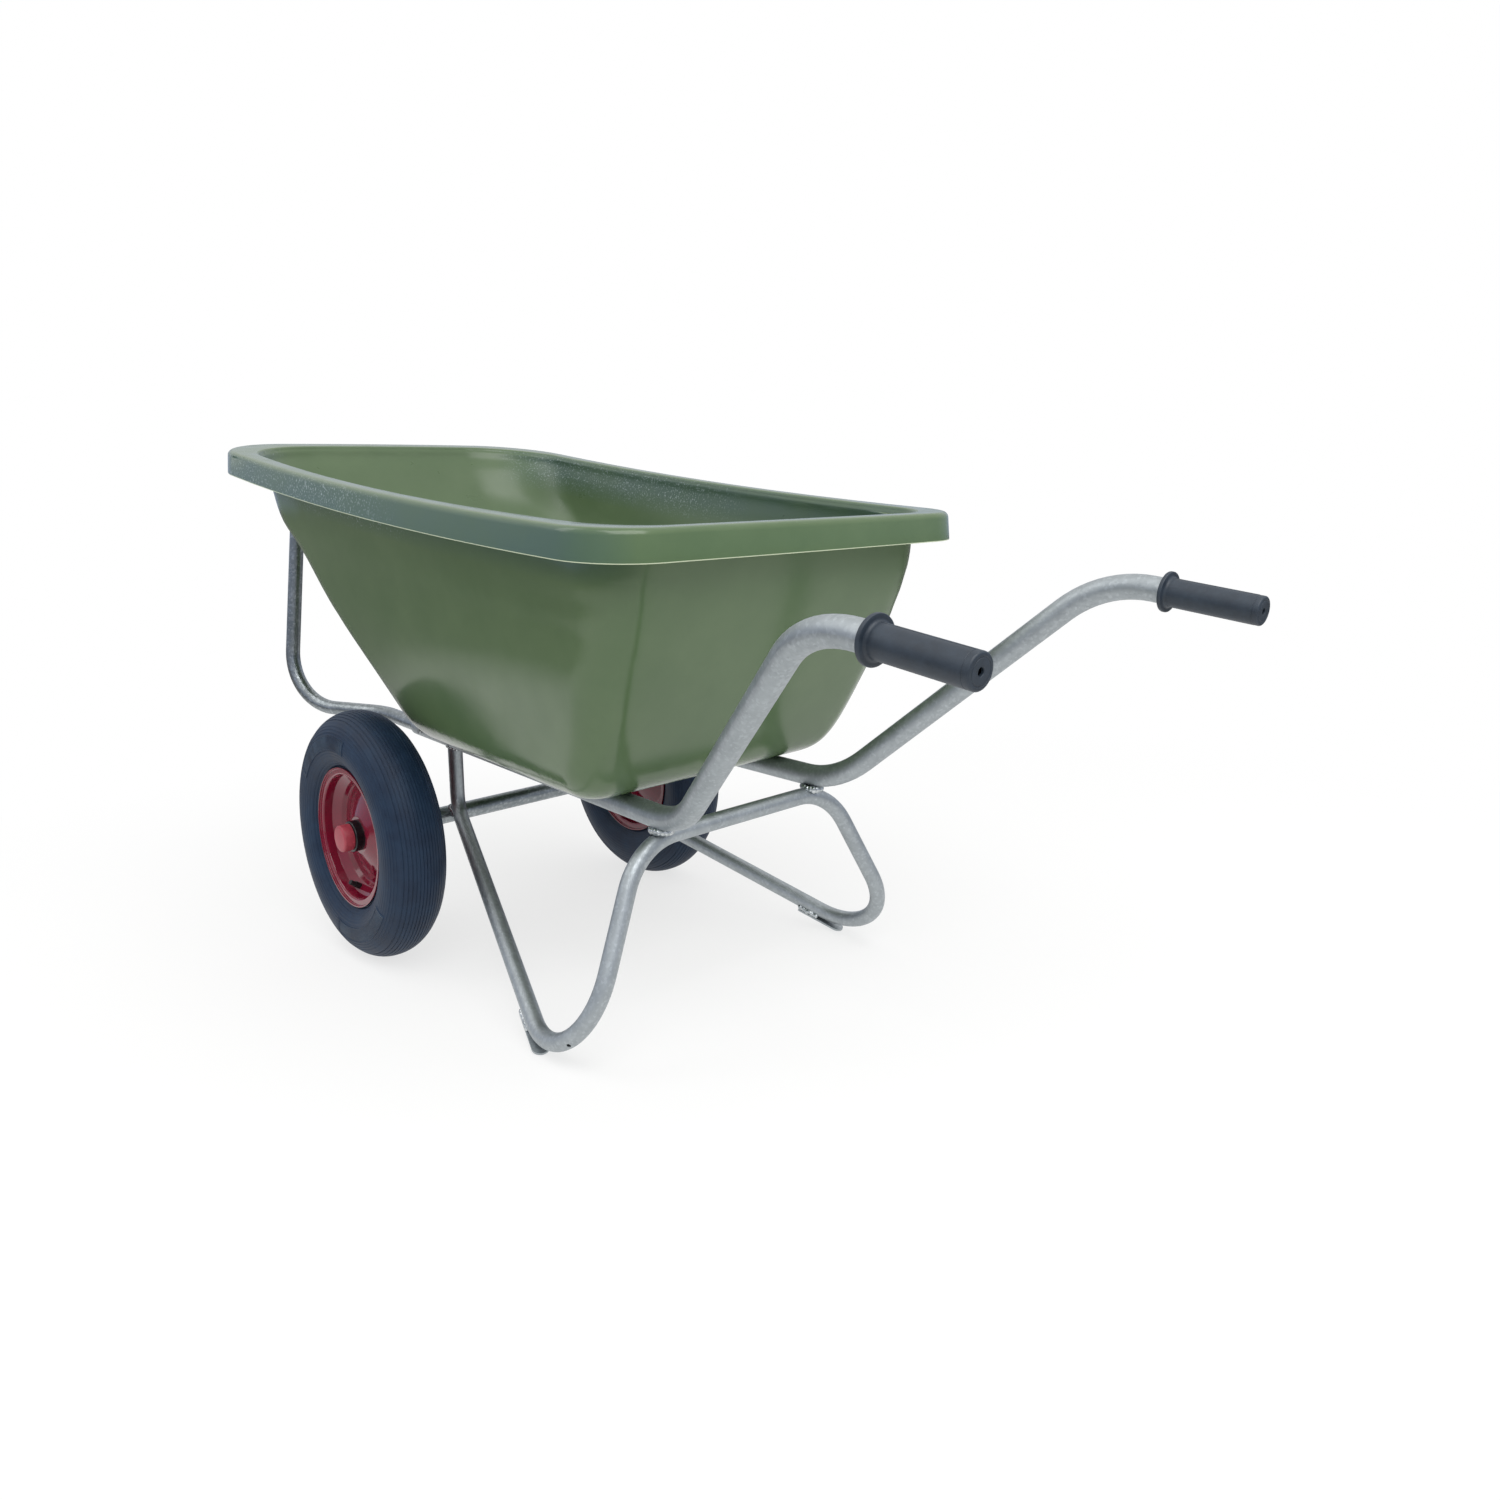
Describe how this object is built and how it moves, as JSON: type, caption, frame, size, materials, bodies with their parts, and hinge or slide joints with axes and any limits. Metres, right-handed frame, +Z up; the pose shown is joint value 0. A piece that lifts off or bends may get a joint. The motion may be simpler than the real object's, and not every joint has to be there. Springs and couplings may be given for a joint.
{
  "type": "wheelbarrow",
  "caption": "Twin-wheel wheelbarrow with a deep green moulded tub, galvanised tube frame, red-rimmed pneumatic tyres and rubber grips.",
  "frame": {"origin": "on the ground, below the middle of the bounding box", "axes": "+X from the tub's nose towards the handles, +Y to the operator's right, +Z up"},
  "size_m": [1.6674, 0.679, 0.8515],
  "materials": {
    "green_polyethylene": "rotationally moulded, semi-gloss",
    "galvanised_steel": "hot-dip galvanised, satin and mottled",
    "zinc_plate": "bright zinc plate",
    "red_enamel": "gloss stove enamel",
    "tyre_rubber": "satin rubber",
    "butyl_rubber": "matt rubber",
    "grip_rubber": "moulded, satin",
    "black_nylon": "moulded, satin",
    "red_plastic": "moulded, matt"
  },
  "bodies": {
    "frame": {"tub": "green_polyethylene", "front_hoop": "galvanised_steel", "leg_frame": "galvanised_steel", "axle_bar": "galvanised_steel", "tub_screws": "zinc_plate", "tub_washers": "zinc_plate", "left_handle_rail": "galvanised_steel", "right_handle_rail": "galvanised_steel", "left_grip": "grip_rubber", "right_grip": "grip_rubber", "left_foot_plate": "galvanised_steel", "right_foot_plate": "galvanised_steel", "left_hub_cap": "red_plastic", "right_hub_cap": "red_plastic", "thrust_washers": "zinc_plate", "outer_washers": "zinc_plate", "axle_clips": "zinc_plate", "hoop_bolts": "zinc_plate", "hoop_nuts": "zinc_plate"},
    "left_wheel": {"left_tyre": "tyre_rubber", "left_inner_tube": "butyl_rubber", "left_rim_outer_half": "red_enamel", "left_rim_inner_half": "red_enamel", "left_hub_tube": "red_enamel", "left_outer_bush": "black_nylon", "left_inner_bush": "black_nylon", "left_valve_stem": "butyl_rubber", "left_valve_cap": "butyl_rubber"},
    "right_wheel": {"right_tyre": "tyre_rubber", "right_inner_tube": "butyl_rubber", "right_rim_outer_half": "red_enamel", "right_rim_inner_half": "red_enamel", "right_hub_tube": "red_enamel", "right_outer_bush": "black_nylon", "right_inner_bush": "black_nylon", "right_valve_stem": "butyl_rubber", "right_valve_cap": "butyl_rubber"}
  },
  "joints": [
    {"name": "left_wheel_spin", "type": "hinge", "parent": "frame", "child": "left_wheel", "pos_m": [-0.36837, -0.276, 0.2], "axis": [0, 1, 0], "continuous": true},
    {"name": "right_wheel_spin", "type": "hinge", "parent": "frame", "child": "right_wheel", "pos_m": [-0.36837, 0.276, 0.2], "axis": [0, 1, 0], "continuous": true}
  ]
}
